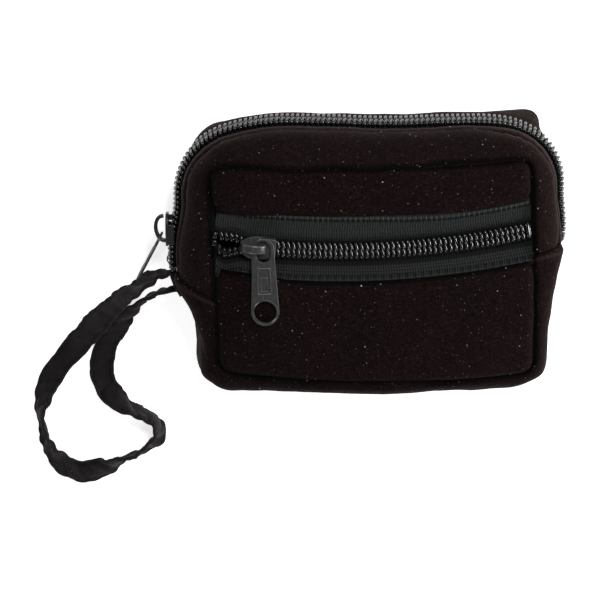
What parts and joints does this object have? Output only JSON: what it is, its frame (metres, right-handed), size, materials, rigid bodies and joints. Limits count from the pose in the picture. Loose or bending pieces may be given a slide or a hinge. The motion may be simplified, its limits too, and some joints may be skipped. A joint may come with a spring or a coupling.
{
  "type": "zippered pouch",
  "caption": "Small suede pouch with a zipped arch, a zipped front pocket and a wrist strap, lying on its back.",
  "frame": {"origin": "centre of the back panel's outer face, on which the pouch lies", "axes": "+X to the right seen from the front, +Y towards the pouch's top, +Z out of the front face"},
  "size_m": [0.1872, 0.1382, 0.0414],
  "materials": {
    "suede": "brushed suede, very dark brown, matte",
    "lining": "plain woven lining, matte",
    "zip_tape": "ribbed woven zip tape, charcoal",
    "zip_coil": "black nylon coil, glossy",
    "slider_metal": "dark grey satin enamel on zinc",
    "strap_cotton": "crinkled black cotton, stitched edges"
  },
  "bodies": {
    "pouch": {"back_panel": "suede", "rear_strip": "suede", "lower_gusset": "suede", "front_lower_panel": "suede", "back_lining": "lining", "side_lining": "lining", "main_tape_rear": "zip_tape", "main_coil_rear": "zip_coil", "main_top_stop_rear": "zip_coil", "main_bottom_stop": "zip_coil", "strap_anchor": "strap_cotton"},
    "front_flap": {"front_arch_strip": "suede", "front_upper_panel": "suede", "front_mid_panel": "suede", "pocket_lining": "lining", "main_tape_front": "zip_tape", "main_coil_front": "zip_coil", "main_top_stop_front": "zip_coil", "pocket_tape_upper": "zip_tape", "pocket_tape_lower": "zip_tape", "pocket_coil_upper": "zip_coil", "pocket_coil_lower": "zip_coil", "pocket_top_stop_upper": "zip_coil", "pocket_top_stop_lower": "zip_coil", "pocket_bottom_stop": "zip_coil"},
    "pocket_slider": {"pocket_slider_body": "slider_metal", "pocket_slider_crown": "slider_metal"},
    "pocket_pull": {"pocket_pull": "slider_metal"},
    "main_slider": {"main_slider_body": "slider_metal", "main_slider_crown": "slider_metal"},
    "main_pull": {"main_pull": "slider_metal"},
    "wrist_strap": {"wrist_strap": "strap_cotton"}
  },
  "joints": [
    {"name": "front_fold", "type": "hinge", "parent": "pouch", "child": "front_flap", "pos_m": [0, -0.0235, 0.0376], "axis": [1, 0, 0], "range_deg": [0, 35]},
    {"name": "pocket_slider_travel", "type": "hinge", "parent": "front_flap", "child": "pocket_slider", "pos_m": [-0.01, 0.27004, -0.089], "axis": [0, 0.4226, 0.9063], "range_deg": [-0.7, 15.3]},
    {"name": "pocket_pull_swing", "type": "hinge", "parent": "pocket_slider", "child": "pocket_pull", "pos_m": [-0.03555, 0.0064, 0.03863], "axis": [0, -0.0349, 0.9994], "range_deg": [-40, 90]},
    {"name": "main_slider_travel", "type": "slide", "parent": "pouch", "child": "main_slider", "axis": [0, 1, 0], "range_m": [0, 0.0078]},
    {"name": "main_pull_swing", "type": "hinge", "parent": "main_slider", "child": "main_pull", "pos_m": [-0.0709, 0.0078, 0.0195], "axis": [0, 0, -1], "range_deg": [0, 110]},
    {"name": "strap_lift", "type": "hinge", "parent": "pouch", "child": "wrist_strap", "pos_m": [-0.0695, -0.0076, 0.0215], "axis": [-0.7866, 0.6175, 0], "range_deg": [0, 60]}
  ]
}
